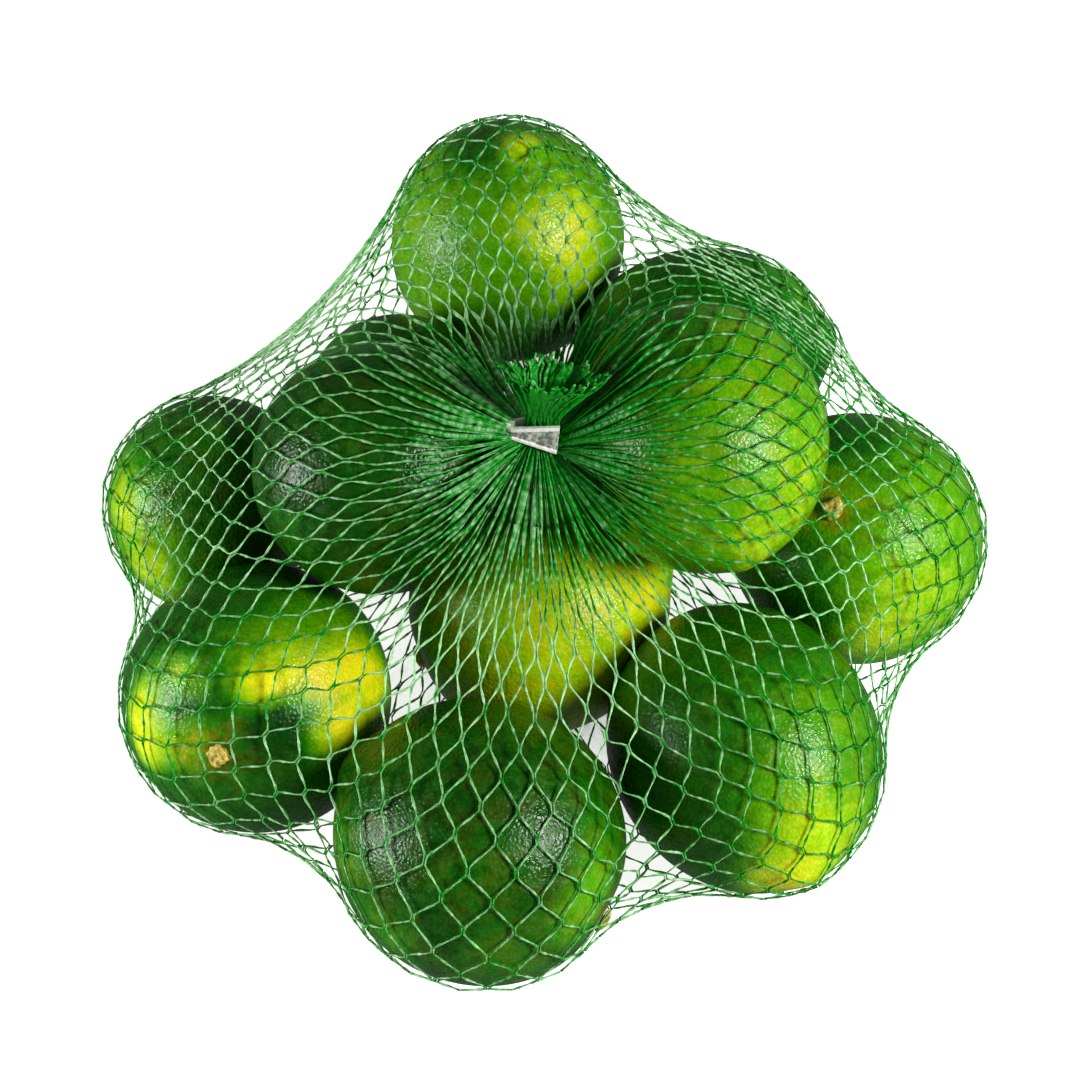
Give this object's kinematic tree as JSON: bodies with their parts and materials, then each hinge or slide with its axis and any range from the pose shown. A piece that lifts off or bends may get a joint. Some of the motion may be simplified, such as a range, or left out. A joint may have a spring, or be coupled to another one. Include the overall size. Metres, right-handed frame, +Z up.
{
  "type": "net bag of limes",
  "caption": "Green knitted net bag drawn tight round loose limes and gathered to a short tail in a crimped metal clip.",
  "frame": {"origin": "middle of the bag's outline on the surface it rests on", "axes": "+Z up, +X to the right and -Y towards the viewer in the picture; the neck of the net is on top"},
  "size_m": [0.1888, 0.2041, 0.0952],
  "materials": {
    "net": "knitted green polyethylene tape, slightly glossy",
    "peel": "waxed lime peel, deep green to yellow, fine oil-gland pores",
    "stem": "dry brown stem button, matte",
    "clip": "bright crimped aluminium strip"
  },
  "bodies": {
    "root": {"net_bag": "net", "top_clip": "clip", "bottom_clip": "clip"}
  },
  "joints": []
}
